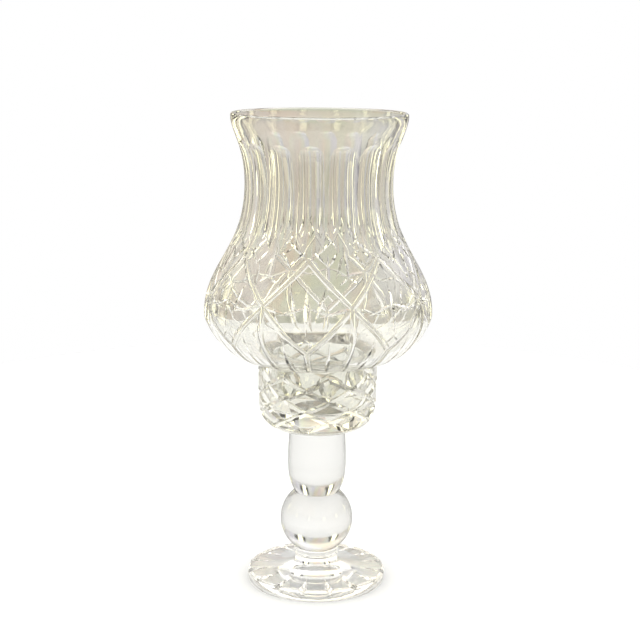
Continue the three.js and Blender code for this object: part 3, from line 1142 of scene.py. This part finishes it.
@dataclass
class Studio:
    """A table of white paper in soft light, in a pale room whose windows and lamps the cuts pick up.

    Attributes:
        floor_colour: the paper's colour.
        floor_radius: how far the paper reaches from the axis, in mm.
        floor_flat: how far it lies flat, in mm.
        floor_rise: how high it sweeps up at its edge, in mm.
        floor_handles: handles of that sweep, as shares of its reach and its rise.
        paper_light: strength of the even light that falls on the paper.
        plaster: colours of the bare room by height, from straight down at 0 to straight up at 1.
        plaster_light: strength of the bare room, as the glass sees it.
        frames: dark frames and soft hues over the plaster, from a window's middle at 0 to a wall's at 1.
        panes: bright window panes, by the same measure.
        pane_light: strength of the panes, as the glass sees them, below eye level and above it.
        eye_level: slopes of sight between which that strength changes.
        sills: where the windows stand by height, and how clearly, in white.
        windows: how many windows stand round the room.
        wobble: how unevenly they stand.
        hues: soft colours of the bare room, from its left at 0 to its right at 1.
        hue_drift: how far they follow the direction; soft patches make the rest.
        patch_scale: how many patches lie across the room.
    """

    floor_colour: str = "#f4f4f2"
    floor_radius: float = 350.0
    floor_flat: float = 280.0
    floor_rise: float = 70.0
    floor_handles: Pair = (0.6, 0.4)
    paper_light: float = 1.32
    plaster: Stops = (
        (0.0, "#b6b6b3"), (0.32, "#b6b6b3"), (0.365, "#a9a7a3"), (0.525, "#a9a7a3"), (0.535, "#c4c4c0"),
        (0.64, "#c4c4c0"), (0.69, "#fffdf2"), (0.90, "#fffdf2"), (0.975, "#9a9890"),
    )
    plaster_light: float = 2.0
    frames: Stops = (
        (0.0, "#2e2c28"), (0.31, "#2e2c28"), (0.39, "#fffefa"), (0.65, "#fffefa"), (0.78, "#edebf4"),
        (0.925, "#edebf4"), (0.95, "#f5e8dd"), (0.97, "#f5e8dd"), (0.988, "#eff2e6"), (1.0, "#eff2e6"),
    )
    panes: Stops = ((0.0, "#fffbd2"), (0.05, "#fffbd2"), (0.10, "#000000"))
    pane_light: Pair = (3.4, 4.0)
    eye_level: Pair = (-0.05, 0.08)
    sills: Stops = (
        (0.42, "#f0f0f0"), (0.435, "#a0a0a0"), (0.475, "#a0a0a0"), (0.48, "#000000"), (0.53, "#000000"),
        (0.55, "#ffffff"), (0.62, "#ffffff"), (0.66, "#000000"),
    )
    windows: int = 8
    wobble: float = 2.0
    hues: Stops = (
        (0.0, "#ffffff"), (0.25, "#fcf3ea"), (0.38, "#f6e8dd"), (0.5, "#f0f2e5"), (0.62, "#ebeaf7"),
        (0.75, "#f5f4fc"), (1.0, "#ffffff"),
    )
    hue_drift: float = 0.5
    patch_scale: float = 2.6

    def floor(self) -> None:
        """Lays the paper a hair below the foot, and sweeps it up at its edge."""
        flat, reach, rise = self.floor_flat, self.floor_radius, self.floor_rise
        out, up = self.floor_handles
        edge = bend(
            (flat, -JOINT_FILM), (mix(flat, reach, out), -JOINT_FILM), (reach, up * rise), (reach, rise),
            steps=12,
        )
        floor = turn_on_lathe("floor", trace(on_axis(-JOINT_FILM), edge), sides=96)
        bpy.ops.object.shade_smooth()
        # Matte paper has no gloss, so the glass stands on an even white without a mirror image
        material = bpy.data.materials.new("matte white paper sweep")
        material.use_nodes = True
        tree = material.node_tree
        tree.nodes.clear()
        surface = add_node(tree, "BsdfDiffuse", {"Color": linear(self.floor_colour)})
        add_node(tree, "OutputMaterial", {"Surface": surface.outputs[0]})
        floor.data.materials.append(material)

    def room(self, tree: Tree) -> Socket:
        """Paints the room that the glass sees: plaster in soft hues, and windows with frames and panes.

        Args:
            tree: the world's node tree.

        Returns:
            The room's light in each direction.
        """
        direction = add_node(tree, "TexCoord").outputs["Generated"]
        parts = add_node(tree, "SeparateXYZ", {"Vector": direction}).outputs
        patches = add_node(
            tree, "TexNoise", {"Vector": direction, "Scale": self.patch_scale, "Detail": 1.0},
            noise_dimensions="3D",
        ).outputs["Fac"]
        turn = calculate(tree, "ARCTAN2", parts["X"], parts["Y"])
        uneven = calculate(tree, "MULTIPLY_ADD", patches, self.wobble, -self.wobble / 2)
        phase = calculate(tree, "MULTIPLY_ADD", turn, float(self.windows), uneven)
        across = calculate(tree, "MULTIPLY_ADD", calculate(tree, "COSINE", phase), 0.5, 0.5)
        rise = calculate(tree, "MULTIPLY_ADD", parts["Z"], 0.5, 0.5)
        side = calculate(tree, "MULTIPLY_ADD", parts["X"], self.hue_drift, patches)

        sills = add_ramp(tree, rise, self.sills)
        bare = blend(tree, "MULTIPLY", add_ramp(tree, rise, self.plaster), [self.plaster_light] * 3)
        frames = add_node(
            tree, "Mix",
            {MIX_FACTOR: sills, MIX_FROM: linear(WHITE), MIX_TO: add_ramp(tree, across, self.frames)},
            data_type="RGBA",
        ).outputs[MIX_RESULT]
        framed = blend(tree, "MULTIPLY", bare, frames)
        walls = blend(tree, "MULTIPLY", framed, add_ramp(tree, side, self.hues))
        panes = blend(tree, "MULTIPLY", add_ramp(tree, across, self.panes), sills)
        glow = add_node(tree, "MapRange", {
            "Value": parts["Z"], "From Min": self.eye_level[0], "From Max": self.eye_level[1],
            "To Min": self.pane_light[0], "To Max": self.pane_light[1],
        }).outputs[0]
        return blend(tree, "MULTIPLY_ADD", panes, glow, walls)

    def surroundings(self) -> None:
        """Gives the glass its room, the paper an even light and the camera a white background."""
        world = bpy.data.worlds.new("studio")
        world.use_nodes = True
        tree = world.node_tree
        tree.nodes.clear()
        ray = add_node(tree, "LightPath").outputs
        white = linear(WHITE)
        glass_sees, paper_gets, camera_sees = (
            add_node(tree, "Background", {"Color": colour, "Strength": strength}).outputs[0]
            for colour, strength in ((self.room(tree), 1.0), (white, self.paper_light), (white, 1.0))
        )
        lit = add_node(tree, "MixShader", {0: ray["Diffuse Depth"], 1: glass_sees, 2: paper_gets})
        shown = add_node(tree, "MixShader", {0: ray["Is Camera Ray"], 1: lit.outputs[0], 2: camera_sees})
        add_node(tree, "OutputWorld", {"Surface": shown.outputs[0]})
        bpy.context.scene.world = world

    def lamps(self) -> None:
        """Hangs the soft lamps, each with its size in metres and its power in watts."""
        aim = mm(0, 0, 140)
        for name, place, size, power in (
            ("lamp_over", (0.0, -0.2, 1.6), 1.0, 2.0),
            ("lamp_left", (-1.5, -0.6, 0.9), 0.8, 1.0),
        ):
            bpy.ops.object.light_add(type="AREA", location=place)
            lamp = bpy.context.object
            lamp.name = name
            lamp.data.shape = "DISK"
            lamp.data.size = size
            lamp.data.energy = power
            lamp.rotation_euler = (aim - Vector(place)).to_track_quat("-Z", "Y").to_euler()

    def develop(self) -> None:
        """Sets how the picture is developed and how far light is followed through glass."""
        scene = bpy.context.scene
        scene.view_settings.view_transform = "Standard"
        scene.view_settings.look = "None"
        scene.cycles.max_bounces = 32
        scene.cycles.transmission_bounces = 32
        scene.cycles.glossy_bounces = 16
        scene.cycles.sample_clamp_indirect = 4.0

    def build(self) -> None:
        """Sets up the floor, the room, the lamps and the picture."""
        self.floor()
        self.surroundings()
        self.lamps()
        self.develop()


def main() -> None:
    """Builds the hurricane round the frame, and the studio round the hurricane."""
    logging.basicConfig(level=logging.INFO, format="%(name)s: %(message)s")
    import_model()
    # Solid knops that acid has polished look clear as water, with a grey edge and soft slashes of the room
    knop_glass = Crystal(
        "clear lead crystal, acid polished", tint="#fdfdfd", roughness=0.14, skin="#f3f3f3", ripple=0.02,
    )
    # The pressed foot looks as clear, but crisp, and its thick edge gathers a trace of cream
    foot_glass = Crystal(
        "clear lead crystal, pressed and cut", density=0.8, depth_colour="#e6e4b0", ripple=0.04,
    )
    # The thick cut cup sparkles, bright facet next to dark facet, over a faint straw colour
    cup_glass = Crystal(
        "cut lead crystal, acid polished", tint="#f3f3ef", density=5.0, depth_colour="#c0bfae", ripple=0.06,
    )
    # The shade looks thin and a little smoky, with bright cuts whose edges are wavy from the polish
    shade_glass = Crystal(
        "cut lead crystal, warm, acid polished", tint="#f6f6f4", density=7.0, depth_colour="#b8b6a8",
        ripple=0.1,
    )
    Shade(shade_glass).build()
    Cup(cup_glass).build()
    Stem(knop_glass, foot_glass).build()
    Foot(foot_glass).build()
    Studio().build()
    Viewpoint().place()


if __name__ == "__main__":
    main()
